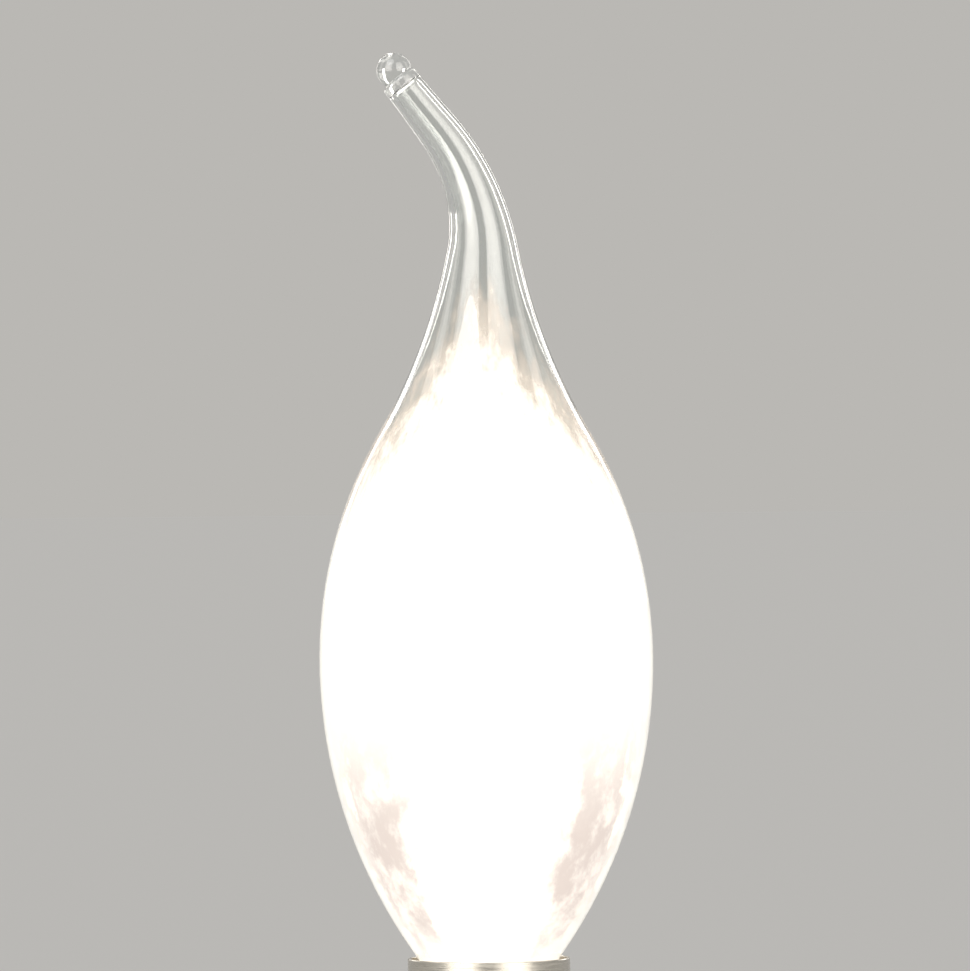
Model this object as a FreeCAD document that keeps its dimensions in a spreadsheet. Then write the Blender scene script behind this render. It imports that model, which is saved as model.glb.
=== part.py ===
import FreeCAD, Part
import Sketcher
import math
import os
import re

# Candle lamp with a bent tip: a satin glass envelope on an E14 cap, with four light strips inside.
# Millimetres, +Z up. The origin is the lowest point of the centre contact, on the cap's axis,
# and the tip bends towards -X.

# The driving dimensions, in mm and degrees. What a rise, drop or depth is measured from is in
# its section's heading.
SIZES = {
    # Envelope, outside: its widest point is above the cap's rim, the tip's root above that point
    "body_radius": 17.5,
    "widest_rise": 31.2,
    "upper_flank_radius": 47.5,
    "waist_radius": 61.0,
    "root_radius": 3.9,
    "root_rise": 42.4,
    # Its neck starts below the rim and runs straight up to a round
    "neck_radius": 7.0,
    "neck_depth": 5.8,
    "neck_straight": 3.94,
    "neck_round": 4.0,
    "envelope_wall": 0.65,
    # Bent tip, along its centreline
    "tip_bend_radius": 21.5,
    "tip_bend_angle": 38.0,
    "tip_straight": 6.4,
    "tip_tube_radius": 1.7,
    "shoulder_edge": 0.5,
    "bore_end_wall": 0.5,
    "bead_radius": 1.85,
    "bead_rise": 1.3,
    "bead_side": 0.23,
    # Cap shell, rolled from sheet: the lip is above the contact, the skirt hangs from the rim
    "cap_height": 25.0,
    "skirt_radius": 8.5,
    "skirt_length": 6.3,
    "shell_wall": 0.3,
    "flare_angle": 55.0,
    "thread_crest_radius": 6.945,
    "thread_root_radius": 6.145,
    "thread_lead_in": 2.1,
    "lip_height": 4.7,
    "lip_hole_radius": 4.8,
    "lip_edge": 1.0,
    # Centre contact and insulator, one on the other
    "contact_face_radius": 1.5,
    "contact_head_radius": 2.4,
    "contact_edge": 0.25,
    "contact_height": 0.9,
    "pin_radius": 0.95,
    "pin_length": 3.7,
    "pin_chamfer": 0.3,
    "insulator_foot_radius": 3.1,
    "insulator_edge": 0.5,
    "insulator_cone_rise": 3.3,
    "insulator_cover": 1.4,
    "seat_clearance": 0.05,
    # Cement ring, below the rim
    "cement_gap": 0.6,
    "cement_depth": 4.8,
    # Stem, above the neck's foot; the exhaust tube hangs below it
    "stem_radius": 3.6,
    "stem_wall": 0.8,
    "stem_rim_height": 0.8,
    "stem_bend": 2.3,
    "press_rise": 7.8,
    "press_height": 6.0,
    "press_squeeze": 2.2,
    "squeeze_width": 5.2,
    "press_width": 7.6,
    "press_thickness": 2.6,
    "press_edge": 0.6,
    "vent_radius": 0.5,
    "vent_rise": 1.1,
    "exhaust_radius": 1.5,
    "exhaust_wall": 0.6,
    "exhaust_drop": 3.2,
    # Glass rod on the press, with the button that holds the upper links
    "rod_radius": 1.1,
    "button_radius": 1.7,
    "button_margin": 1.0,
    "button_edge": 0.5,
    # Wires through the press, each this far from its middle
    "lead_offset": 2.1,
    "seal_wire_radius": 0.25,
    "seal_margin": 1.0,
    "inner_wire_radius": 0.3,
    "outer_wire_radius": 0.2,
    "inner_straight": 0.7,
    "jog_angle": 45.0,
    "link_overhang": 0.45,
    "link_weld_drop": 1.1,
    "upper_link_gap": 1.2,
    "upper_link_step": 1.4,
    "upper_link_bend": 1.1,
    "upper_link_overlap": 1.2,
    # Light strips, on a circle round the rod, above the press
    "filament_offset": 4.95,
    "filament_rise": 3.6,
    "strip_thickness": 0.4,
    "strip_width": 0.9,
    "coat_length": 35.0,
    "coat_radius": 0.95,
    "tab_length": 2.1,
    # Driver board, above the insulator, and what it carries
    "board_gap": 0.5,
    "board_width": 10.2,
    "board_height": 8.4,
    "board_thickness": 0.8,
    "notch_depth": 1.5,
    "part_margin": 0.7,
    "capacitor_radius": 1.95,
    "capacitor_length": 6.6,
    "capacitor_side": 2.0,
    "capacitor_groove": 0.2,
    "capacitor_groove_rise": 0.8,
    "resistor_radius": 0.95,
    "resistor_length": 4.4,
    "resistor_side": 2.6,
    "resistor_end": 1.0,
    "resistor_waist": 0.15,
    "resistor_wire_radius": 0.25,
    "resistor_lead": 0.9,
    "rectifier_width": 4.6,
    "rectifier_height": 3.0,
    "rectifier_depth": 1.8,
    "chip_width": 3.0,
    "chip_height": 2.2,
    "chip_depth": 1.4,
    "chip_side": 2.4,
    "leg_width": 0.5,
    "leg_length": 0.5,
    "leg_depth": 0.3,
    "package_draft": 7.0,
    # Wires from the board to the cap
    "shell_wire_radius": 0.2,
    "shell_wire_foot": 0.5,
    "shell_wire_rise": 0.38,
    "shell_wire_gap": 0.1,
    "hook_drop": 1.1,
    "solder_radius": 1.0,
    "solder_face_radius": 0.6,
    "solder_height": 0.6,
    "solder_drop": 1.0,
    "solder_sink": 0.25,
    "sleeve_wall": 0.3,
    "sleeve_length": 1.9,
}

# Straight steps that stand for the glass's curves: lower flank, upper flank, waist and bend
OUTER_STEPS = (5, 3, 2, 4)
INNER_STEPS = (3, 2, 2, 3)
FILAMENTS = 4

# Heights that follow from the sizes
RIM = "cap_height"
WIDEST = f"({RIM} + widest_rise)"
TIP_ROOT = f"({WIDEST} + root_rise)"
NECK_FOOT = f"({RIM} - neck_depth)"
NECK_TOP = f"({NECK_FOOT} + neck_straight)"
SKIRT_FOOT = f"({RIM} - skirt_length)"
PRESS_FOOT = f"({NECK_FOOT} + press_rise)"
PRESS_TOP = f"({PRESS_FOOT} + press_height)"
COAT_FOOT = f"({PRESS_TOP} + filament_rise + tab_length)"
COAT_TOP = f"({COAT_FOOT} + coat_length)"
LOWER_LINK = f"({COAT_FOOT} - link_weld_drop)"
UPPER_LINK = f"({COAT_TOP} + tab_length + upper_link_gap)"
CROSS_LINK = f"({UPPER_LINK} + upper_link_step)"
LIP_TOP = "(lip_height + shell_wall)"
PIN_TOP = "(contact_height + pin_length)"
INSULATOR_TOP = f"({LIP_TOP} + insulator_cover)"
BOARD_FOOT = f"({INSULATOR_TOP} + board_gap)"
BOARD_TOP = f"({BOARD_FOOT} + board_height)"

# The lower flank's radius, with which it is level at the widest point and runs into the neck's round
FLANK_OVERHANG = "(body_radius - neck_radius - neck_round)"
FLANK_RISE = f"({WIDEST} - {NECK_TOP})"
LOWER_FLANK = f"(({FLANK_OVERHANG}^2 + {FLANK_RISE}^2 - neck_round^2) / (2 * (neck_round + {FLANK_OVERHANG})))"

# Other radii and faces that follow from the sizes
BOARD_FACE = "(board_thickness / 2)"
LINK_RING = "(filament_offset - strip_thickness / 2 - inner_wire_radius)"
SKIRT_INSIDE = "(skirt_radius - shell_wall)"

doc = FreeCAD.newDocument("CandleLamp")
sheet = doc.addObject("Spreadsheet::Sheet", "Sizes")
for row, (word, size) in enumerate(SIZES.items(), start=1):
    sheet.set(f"A{row}", word)
    sheet.set(f"B{row}", str(size))
    sheet.setAlias(f"B{row}", word)
doc.recompute()

nodes = []
cuts = []


def bound(text):
    """The expression with each size's word tied to its cell."""
    return re.sub(r"[a-z]\w*", lambda word: f"Sizes.{word[0]}" if word[0] in SIZES else word[0], str(text))


def value(text):
    """What the expression comes to now."""
    result = sheet.evalExpression(bound(text))
    return float(getattr(result, "Value", result))


def tie(thing, prop, text):
    thing.setExpression(prop, bound(text))


def new_body(label):
    body = doc.addObject("PartDesign::Body", label)
    body.Label = label
    nodes.append(body)
    return body


def new_sketch(body, name, plane, at=None, turn=None):
    """A sketch on one of the body's own origin planes, moved by at (x, y, z) and turned by
    turn (axis, degrees) in that plane's own directions. Each number is an expression."""
    sketch = body.newObject("Sketcher::SketchObject", f"{body.Name}_{name}")
    support = next(f for f in body.Origin.OriginFeatures if f.Role == plane)
    sketch.AttachmentSupport = [(support, "")]
    sketch.MapMode = "FlatFace"
    if turn:
        axis, angle = turn
        rotation = FreeCAD.Rotation(FreeCAD.Vector(*axis), value(angle))
        sketch.AttachmentOffset = FreeCAD.Placement(FreeCAD.Vector(), rotation)
        tie(sketch, "AttachmentOffset.Rotation.Angle", angle)
    for letter, text in zip("xyz", at or ()):
        tie(sketch, f"AttachmentOffset.Base.{letter}", text)
    return sketch


def pin_point(sketch, index, end, point):
    """Ties a point of a sketch to a pair of expressions."""
    for kind, text in zip(("DistanceX", "DistanceY"), point):
        number = sketch.addConstraint(Sketcher.Constraint(kind, -1, 1, index, end, value(text)))
        tie(sketch, f"Constraints[{number}]", text)


def arc_between(start, end, radius):
    """The short arc from start to end; above zero it turns left on its way, below zero right."""
    chord = end - start
    left = FreeCAD.Vector(-chord.y, chord.x, 0).normalize()
    reach = math.sqrt(max(radius**2 - (chord.Length / 2) ** 2, 0.0))
    centre = (start + end) * 0.5 + left * math.copysign(reach, radius)
    first, last = (start, end) if radius > 0 else (end, start)
    circle = Part.Circle(centre, FreeCAD.Vector(0, 0, 1), abs(radius))
    begin = math.atan2(first.y - centre.y, first.x - centre.x)
    finish = math.atan2(last.y - centre.y, last.x - centre.x)
    return Part.ArcOfCircle(circle, begin, finish)


def add_chain(sketch, points, rounds=None, closed=True):
    """Lines and arcs from point to point. rounds holds the radius of each edge that is an arc,
    by the number of its first point, signed as arc_between has it."""
    rounds = rounds or {}
    edges = len(points) if closed else len(points) - 1
    flat = [FreeCAD.Vector(value(x), value(y), 0) for x, y in points]
    opening = last = None
    for i in range(edges):
        start, end = flat[i], flat[(i + 1) % len(flat)]
        ends = (1, 2)
        if i in rounds:
            radius = value(rounds[i])
            index = sketch.addGeometry(arc_between(start, end, radius), False)
            number = sketch.addConstraint(Sketcher.Constraint("Radius", index, abs(radius)))
            tie(sketch, f"Constraints[{number}]", f"abs({rounds[i]})")
            if radius < 0:
                ends = (2, 1)
        else:
            index = sketch.addGeometry(Part.LineSegment(start, end), False)
        if last:
            sketch.addConstraint(Sketcher.Constraint("Coincident", *last, index, ends[0]))
        else:
            opening = (index, ends[0])
        pin_point(sketch, index, ends[0], points[i])
        last = (index, ends[1])
    if closed:
        sketch.addConstraint(Sketcher.Constraint("Coincident", *last, *opening))
    else:
        pin_point(sketch, *last, points[-1])


def add_circle(sketch, x, y, radius):
    middle = FreeCAD.Vector(value(x), value(y), 0)
    index = sketch.addGeometry(Part.Circle(middle, FreeCAD.Vector(0, 0, 1), value(radius)), False)
    number = sketch.addConstraint(Sketcher.Constraint("Radius", index, value(radius)))
    tie(sketch, f"Constraints[{number}]", radius)
    pin_point(sketch, index, 3, (x, y))


def outline(body, name, points, rounds=None, plane="XZ_Plane", at=None, turn=None, closed=True):
    sketch = new_sketch(body, name, plane, at, turn)
    add_chain(sketch, points, rounds, closed)
    return sketch


def revolve(body, name, points, rounds=None, cut=False, at=None, turn=None):
    """Turns a closed outline of (radius, height) pairs about the sketch's upright axis."""
    sketch = outline(body, name, points, rounds, at=at, turn=turn)
    feature = body.newObject("PartDesign::Groove" if cut else "PartDesign::Revolution", f"{sketch.Name}_turned")
    feature.Profile = sketch
    feature.ReferenceAxis = (sketch, ["V_Axis"])
    feature.Angle = 360
    if cut:
        cuts.append(feature)
    return feature


def extrude(body, sketch, length, cut=False, midplane=False, reverse=False):
    feature = body.newObject("PartDesign::Pocket" if cut else "PartDesign::Pad", f"{sketch.Name}_run")
    feature.Profile = sketch
    feature.Midplane = midplane
    feature.Reversed = reverse
    tie(feature, "Length", length)
    if cut:
        cuts.append(feature)
    return feature


def rectangle(low_x, high_x, low_y, high_y):
    return [(low_x, low_y), (high_x, low_y), (high_x, high_y), (low_x, high_y)]


def chamfered_rectangle(width, depth, cut):
    """A rectangle about the middle with its four corners cut off."""
    x, y = f"({width}) / 2", f"({depth}) / 2"
    return [
        (f"-{x} + {cut}", f"-{y}"),
        (f"{x} - {cut}", f"-{y}"),
        (x, f"-{y} + {cut}"),
        (x, f"{y} - {cut}"),
        (f"{x} - {cut}", y),
        (f"-{x} + {cut}", y),
        (f"-{x}", f"{y} - {cut}"),
        (f"-{x}", f"-{y} + {cut}"),
    ]


def wire_through(label, points, radius, plane="XZ_Plane", height="0"):
    """A round wire with mitred corners through points on the plane: upright, and then it starts
    upwards, or level at the height, and then it starts along +Y."""
    body = new_body(label)
    spine = outline(body, "path", points, plane=plane, at=("0", "0", height), closed=False)
    x, y = points[0]
    if plane == "XZ_Plane":
        section = new_sketch(body, "section", "XY_Plane", (x, "0", y))
    else:
        section = new_sketch(body, "section", "XZ_Plane", (x, height, f"-({y})"))
    add_circle(section, "0", "0", radius)
    feature = body.newObject("PartDesign::AdditivePipe", f"{label}_pipe")
    feature.Profile = section
    feature.Spine = spine
    feature.Transition = "Right corner"
    return body


def place(thing, at=("0", "0", "0"), angle="0"):
    """The sub-part's own place: moved to at, and turned about the upright axis."""
    turned = FreeCAD.Rotation(FreeCAD.Vector(0, 0, 1), value(angle))
    thing.Placement = FreeCAD.Placement(FreeCAD.Vector(), turned)
    for letter, text in zip("xyz", at):
        tie(thing, f"Placement.Base.{letter}", text)
    tie(thing, "Placement.Rotation.Angle", angle)


def cylinder(name, radius, foot, top, x="0"):
    """An upright round piece between two heights."""
    piece = doc.addObject("Part::Cylinder", name)
    piece.Label = name
    tie(piece, "Radius", radius)
    tie(piece, "Height", f"{top} - {foot}")
    place(piece, (x, "0", foot))
    return piece


def cut_away(name, base, *tools):
    """base less each of the tools in turn; the last result carries the name."""
    for number, tool in enumerate(tools, start=1):
        last = number == len(tools)
        result = doc.addObject("Part::Cut", name if last else f"{name}_less_{number}")
        result.Base = base
        result.Tool = tool
        base = result
    base.Label = name
    return base


# Glass envelope: one blown piece with its drawn, bent tip and the sealed bead


def waist_centre():
    """Radius and height of the middle of the waist's hollow arc, the same inside and outside. It
    is a reach away from the upper flank's middle, and a waist radius from the tip's root."""
    reach = "(upper_flank_radius + waist_radius)"
    inset = "(root_radius + upper_flank_radius - body_radius)"
    span = f"sqrt({inset}^2 + root_rise^2)"
    along = f"(({reach}^2 - waist_radius^2 + {span}^2) / (2 * {span}))"
    aside = f"sqrt({reach}^2 - {along}^2)"
    across = f"(body_radius - upper_flank_radius + ({along} * {inset} + {aside} * root_rise) / {span})"
    return across, f"({WIDEST} + ({along} * root_rise - {aside} * {inset}) / {span})"


def root_radius(wall):
    """Radius where the tip begins, on the surface that lies wall inside the outer one."""
    across, height = waist_centre()
    return f"({across} - sqrt((waist_radius + {wall})^2 - ({height} - {TIP_ROOT})^2))"


def tip_radius(wall, run):
    """Radius of the tip after run mm of centreline: it narrows towards a plain tube, and starts
    at the slope that the waist ends with."""
    drop = f"({waist_centre()[1]} - {TIP_ROOT})"
    slope = f"({drop} / sqrt((waist_radius + {wall})^2 - {drop}^2))"
    tube = f"(tip_tube_radius - {wall})"
    flare = f"({root_radius(wall)} - {tube})"
    return f"({tube} + {flare} * exp(-({run}) * {slope} / {flare}))"


def tip_stations(end_wall, steps):
    """Place, lean and run of each section of the tip, which stops end_wall before its end."""
    stations = []
    arc = "(tip_bend_radius * tip_bend_angle * pi / 180)"
    for step in range(steps + 1):
        lean = f"(tip_bend_angle * {step} / {steps})"
        across = f"-tip_bend_radius * (1 - cos({lean}))"
        height = f"{TIP_ROOT} + tip_bend_radius * sin({lean})"
        stations.append((across, height, lean, f"{arc} * {step} / {steps}"))
    across, height = stations[-1][:2]
    run = f"(tip_straight - {end_wall})"
    out = f"{across} - {run} * sin(tip_bend_angle)"
    up = f"{height} + {run} * cos(tip_bend_angle)"
    return stations + [(out, up, "tip_bend_angle", f"{arc} + {run}")]


def flank(across, middle, radius, foot, top, steps):
    """Points up an arc in equal rises, its foot left out. Above zero the radius bulges outwards
    from across, below zero it is hollow."""
    side = "-" if radius.startswith("-") else "+"
    points = []
    for step in range(1, steps + 1):
        height = f"({foot} + ({top} - {foot}) * {step} / {steps})"
        points.append((f"{across} {side} sqrt(({radius})^2 - ({height} - {middle})^2)", height))
    return points


def envelope_outline(wall, steps):
    """Half outline up to the tip's root, offset inwards by wall."""
    lower, upper = f"({LOWER_FLANK} - {wall})", f"(upper_flank_radius - {wall})"
    share = f"({lower} / ({LOWER_FLANK} + neck_round))"
    meet = f"({WIDEST} - {share} * {FLANK_RISE})"
    middle = waist_centre()
    waist_foot = f"({WIDEST} + {upper} / (upper_flank_radius + waist_radius) * ({middle[1]} - {WIDEST}))"
    return [
        ("0", NECK_FOOT),
        (f"neck_radius - {wall}", NECK_FOOT),
        (f"neck_radius - {wall}", NECK_TOP),
        (f"body_radius - {LOWER_FLANK} + {share} * ({LOWER_FLANK} - {FLANK_OVERHANG})", meet),
        *flank(f"body_radius - {LOWER_FLANK}", WIDEST, lower, meet, WIDEST, steps[0]),
        *flank("body_radius - upper_flank_radius", WIDEST, upper, WIDEST, waist_foot, steps[1]),
        *flank(middle[0], middle[1], f"-(waist_radius + {wall})", waist_foot, TIP_ROOT, steps[2]),
        ("0", TIP_ROOT),
    ]


def envelope_tip(body, name, wall, end_wall, steps, cut):
    """The drawn tip, lofted through round sections square to its centreline."""
    sections = []
    for number, (across, height, lean, run) in enumerate(tip_stations(end_wall, steps[3])):
        turn = ((0, 1, 0), f"-{lean}") if number else None
        section = new_sketch(body, f"{name}_{number}", "XY_Plane", (across, "0", height), turn)
        add_circle(section, "0", "0", tip_radius(wall, run))
        sections.append(section)
    loft = body.newObject("PartDesign::SubtractiveLoft" if cut else "PartDesign::AdditiveLoft", f"{name}_loft")
    loft.Profile = sections[0]
    loft.Sections = sections[1:]
    loft.Ruled = True
    if cut:
        cuts.append(loft)


def glass_envelope():
    body = new_body("glass_envelope")
    revolve(body, "outside", envelope_outline("0", OUTER_STEPS))
    envelope_tip(body, "tip", "0", "0", OUTER_STEPS, cut=False)
    across, height, lean, run = tip_stations("0", OUTER_STEPS[3])[-1]
    turn = ((0, 0, 1), lean)
    end = tip_radius("0", run)
    shoulder = [("0", "0"), (end, "0"), (f"{end} - shoulder_edge", "shoulder_edge"), ("0", "shoulder_edge")]
    revolve(body, "shoulder", shoulder, at=(across, height, "0"), turn=turn)
    ball = [("0", "-bead_radius"), ("bead_radius", "0"), ("0", "bead_radius")]
    out = f"{across} + bead_side * cos({lean}) - bead_rise * sin({lean})"
    up = f"{height} + bead_side * sin({lean}) + bead_rise * cos({lean})"
    revolve(body, "bead", ball, {0: "bead_radius", 1: "bead_radius"}, at=(out, up, "0"), turn=turn)
    revolve(body, "inside", envelope_outline("envelope_wall", INNER_STEPS), cut=True)
    envelope_tip(body, "bore", "envelope_wall", "bore_end_wall", INNER_STEPS, cut=True)
    return body


# Cap shell: one rolled sheet, with its lip, flare and skirt. Its thread is a plain band here, from
# the sheet's inside at the root out to the crest.


def shell_hollow():
    """Half outline of the inside of the shell's sheet."""
    root = "thread_root_radius - shell_wall"
    corner = "shell_wall * tan(22.5)"
    knee = "shell_wall * tan(flare_angle / 2)"
    return [
        ("0", LIP_TOP),
        (f"thread_root_radius - lip_edge - {corner}", LIP_TOP),
        (root, f"lip_height + lip_edge + {corner}"),
        (root, f"{SKIRT_FOOT} - (skirt_radius - thread_root_radius) / tan(flare_angle) + {knee}"),
        (SKIRT_INSIDE, f"{SKIRT_FOOT} + {knee}"),
        (SKIRT_INSIDE, RIM),
        ("0", RIM),
    ]


def cap_shell():
    body = new_body("cap_shell")
    outside = [
        ("0", "lip_height"),
        ("thread_root_radius - lip_edge", "lip_height"),
        ("thread_crest_radius", "lip_height + thread_lead_in"),
        ("thread_crest_radius", f"{SKIRT_FOOT} - (skirt_radius - thread_crest_radius) / tan(flare_angle)"),
        ("skirt_radius", SKIRT_FOOT),
        ("skirt_radius", RIM),
        ("0", RIM),
    ]
    revolve(body, "outside", outside)
    revolve(body, "inside", shell_hollow(), cut=True)
    revolve(body, "hole", rectangle("0", "lip_hole_radius", "lip_height", LIP_TOP), cut=True)


def cap_insulator():
    body = new_body("cap_insulator")
    hole = "pin_radius + seat_clearance"
    waist = "lip_hole_radius - seat_clearance"
    points = [
        (hole, "contact_height"),
        ("insulator_foot_radius - insulator_edge", "contact_height"),
        ("insulator_foot_radius", "contact_height + insulator_edge"),
        (waist, "contact_height + insulator_cone_rise"),
        (waist, LIP_TOP),
        *shell_hollow()[1:3],
        ("thread_root_radius - shell_wall", INSULATOR_TOP),
        (hole, INSULATOR_TOP),
    ]
    revolve(body, "section", points)


def centre_contact():
    body = new_body("centre_contact")
    points = [
        ("0", "0"),
        ("contact_face_radius", "0"),
        ("contact_head_radius - contact_edge", "contact_edge"),
        ("contact_head_radius", "contact_height - contact_edge"),
        ("contact_head_radius", "contact_height"),
        ("pin_radius", "contact_height"),
        ("pin_radius", f"{PIN_TOP} - pin_chamfer"),
        ("pin_radius - pin_chamfer", PIN_TOP),
        ("0", PIN_TOP),
    ]
    revolve(body, "section", points)


# Stem: flared glass tube, pressed flat round the seal wires, with its pump tube and rod


def stem_flare():
    body = new_body("stem_flare")
    rim = "neck_radius - envelope_wall"
    bend_top = f"{NECK_FOOT} + stem_rim_height + stem_bend"
    outside = [
        ("0", NECK_FOOT),
        (rim, NECK_FOOT),
        (rim, f"{NECK_FOOT} + stem_rim_height"),
        ("stem_radius + stem_bend", f"{NECK_FOOT} + stem_rim_height"),
        ("stem_radius", bend_top),
        ("stem_radius", PRESS_FOOT),
        ("0", PRESS_FOOT),
    ]
    revolve(body, "outside", outside)
    squeeze = new_sketch(body, "squeeze", "YZ_Plane")
    wedge = [
        ("-stem_radius", PRESS_FOOT),
        ("stem_radius", PRESS_FOOT),
        ("press_thickness / 2", f"{PRESS_FOOT} + press_squeeze"),
        ("-press_thickness / 2", f"{PRESS_FOOT} + press_squeeze"),
    ]
    add_chain(squeeze, wedge)
    extrude(body, squeeze, "squeeze_width", midplane=True)
    press = new_sketch(body, "press", "XY_Plane", ("0", "0", PRESS_FOOT))
    add_chain(press, chamfered_rectangle("press_width", "press_thickness", "press_edge"))
    extrude(body, press, "press_height")
    bore = "stem_radius - stem_wall"
    inside = [
        ("0", NECK_FOOT),
        (f"{bore} + stem_bend + stem_wall", NECK_FOOT),
        (bore, f"{NECK_FOOT} + stem_bend + stem_wall"),
        (bore, PRESS_FOOT),
        ("0", PRESS_FOOT),
    ]
    revolve(body, "inside", inside, cut=True)
    wire_stretches = {
        "outer_hole": ("outer_wire_radius", f"{PRESS_FOOT} + seal_margin", "seal_margin"),
        "seal_hole": ("seal_wire_radius", f"{PRESS_TOP} - seal_margin", "press_height - 2 * seal_margin"),
        "inner_hole": ("inner_wire_radius", PRESS_TOP, "seal_margin"),
    }
    for name, (radius, top, length) in wire_stretches.items():
        holes = new_sketch(body, name, "XY_Plane", ("0", "0", top))
        add_circle(holes, "lead_offset", "0", radius)
        add_circle(holes, "-lead_offset", "0", radius)
        extrude(body, holes, length, cut=True)
    well = new_sketch(body, "vent_well", "XY_Plane", ("0", "0", f"{PRESS_FOOT} + vent_rise"))
    add_circle(well, "0", "0", "vent_radius")
    extrude(body, well, "vent_rise", cut=True)
    vent = new_sketch(body, "vent", "XZ_Plane")
    add_circle(vent, "0", f"{PRESS_FOOT} + vent_rise", "vent_radius")
    extrude(body, vent, "2 * stem_radius", cut=True, midplane=True)


def exhaust_tube():
    body = new_body("exhaust_tube")
    tip = f"({NECK_FOOT} - exhaust_drop)"
    bore = "(exhaust_radius - exhaust_wall)"
    points = [
        ("0", tip),
        ("exhaust_radius / 2", tip),
        ("exhaust_radius", f"{tip} + exhaust_radius"),
        ("exhaust_radius", PRESS_FOOT),
        (bore, PRESS_FOOT),
        (bore, f"{tip} + exhaust_radius"),
        ("0", f"{tip} + exhaust_radius"),
    ]
    revolve(body, "section", points)


def support_rod():
    body = new_body("support_rod")
    foot = f"{UPPER_LINK} - button_margin"
    top = f"{CROSS_LINK} + button_margin"
    points = [
        ("0", PRESS_TOP),
        ("rod_radius", PRESS_TOP),
        ("rod_radius", foot),
        ("button_radius - button_edge", foot),
        ("button_radius", f"{foot} + button_edge"),
        ("button_radius", f"{top} - button_edge"),
        ("button_radius - button_edge", top),
        ("0", top),
    ]
    revolve(body, "section", points)
    for name, plane, height in (("long_hole", "YZ_Plane", UPPER_LINK), ("cross_hole", "XZ_Plane", CROSS_LINK)):
        hole = new_sketch(body, name, plane)
        add_circle(hole, "0", height, "inner_wire_radius")
        extrude(body, hole, "2 * button_radius", cut=True, midplane=True)


# Wires


def straight_leads():
    for side, sign in (("left", "-"), ("right", "")):
        x = f"{sign}lead_offset"
        low, high = f"({PRESS_FOOT} + seal_margin)", f"({PRESS_TOP} - seal_margin)"
        nodes.append(cylinder(f"seal_wire_{side}", "seal_wire_radius", low, high, x))
        nodes.append(cylinder(f"outer_lead_{side}", "outer_wire_radius", f"({BOARD_TOP} - notch_depth)", low, x))


def inner_lead(side, angle):
    low = f"({PRESS_TOP} + inner_straight)"
    points = [
        ("lead_offset", f"{PRESS_TOP} - seal_margin"),
        ("lead_offset", low),
        (LINK_RING, f"{low} + ({LINK_RING} - lead_offset) / tan(jog_angle)"),
        (LINK_RING, f"{LOWER_LINK} - inner_wire_radius"),
    ]
    place(wire_through(f"inner_lead_{side}", points, "inner_wire_radius"), angle=angle)


def lower_link(side, angle):
    """The bent wire that joins the feet of two neighbouring strips."""
    knee = f"({LINK_RING} * tan(180 / 2 / {FILAMENTS}))"
    points = [
        (LINK_RING, "-link_overhang"),
        (LINK_RING, knee),
        (knee, LINK_RING),
        ("-link_overhang", LINK_RING),
    ]
    body = wire_through(f"lower_link_{side}", points, "inner_wire_radius", "XY_Plane", height=LOWER_LINK)
    place(body, angle=angle)


def upper_link(name, height, angle):
    """The hoop that joins the heads of two strips across the rod."""
    end = f"{COAT_TOP} + tab_length - upper_link_overlap"
    points = [
        (f"-{LINK_RING}", end),
        (f"-{LINK_RING}", f"{height} - upper_link_bend"),
        (f"-{LINK_RING} + upper_link_bend", height),
        (f"{LINK_RING} - upper_link_bend", height),
        (LINK_RING, f"{height} - upper_link_bend"),
        (LINK_RING, end),
    ]
    place(wire_through(name, points, "inner_wire_radius"), angle=angle)


# Light strips


def filament(number, angle):
    at = (f"filament_offset * cos({angle})", f"filament_offset * sin({angle})", COAT_FOOT)
    section = rectangle("-strip_thickness / 2", "strip_thickness / 2", "-strip_width / 2", "strip_width / 2")
    strip = new_body(f"filament_strip_{number}")
    foot = new_sketch(strip, "section", "XY_Plane", ("0", "0", "-tab_length"))
    add_chain(foot, section)
    extrude(strip, foot, "coat_length + 2 * tab_length")
    place(strip, at, angle)
    coat = new_body(f"filament_coat_{number}")
    revolve(coat, "outside", rectangle("0", "coat_radius", "0", "coat_length"))
    slot = new_sketch(coat, "slot", "XY_Plane", ("0", "0", "coat_length"))
    add_chain(slot, section)
    extrude(coat, slot, "coat_length", cut=True)
    place(coat, at, angle)


# Driver board and what it carries


def driver_board():
    body = new_body("driver_board")
    sketch = new_sketch(body, "outline", "XZ_Plane")
    add_chain(sketch, rectangle("-board_width / 2", "board_width / 2", BOARD_FOOT, BOARD_TOP))
    extrude(body, sketch, "board_thickness", midplane=True)
    notches = new_sketch(body, "notches", "XZ_Plane")
    radius = "outer_wire_radius"
    for x in ("lead_offset", "-lead_offset"):
        add_chain(notches, rectangle(f"{x} - {radius}", f"{x} + {radius}", f"{BOARD_TOP} - notch_depth", BOARD_TOP))
    add_chain(notches, rectangle(f"-{radius}", radius, BOARD_FOOT, f"{BOARD_FOOT} + notch_depth"))
    extrude(body, notches, "2 * board_thickness", cut=True, midplane=True)


def smoothing_capacitor():
    body = new_body("smoothing_capacitor")
    groove = "capacitor_groove_rise"
    points = [
        ("0", "0"),
        ("capacitor_radius", "0"),
        ("capacitor_radius", groove),
        ("capacitor_radius - capacitor_groove", f"{groove} + capacitor_groove"),
        ("capacitor_radius", f"{groove} + 2 * capacitor_groove"),
        ("capacitor_radius", "capacitor_length"),
        ("0", "capacitor_length"),
    ]
    revolve(body, "section", points)
    place(body, ("-capacitor_side", f"-({BOARD_FACE} + capacitor_radius)", f"{BOARD_FOOT} + part_margin"))


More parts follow.
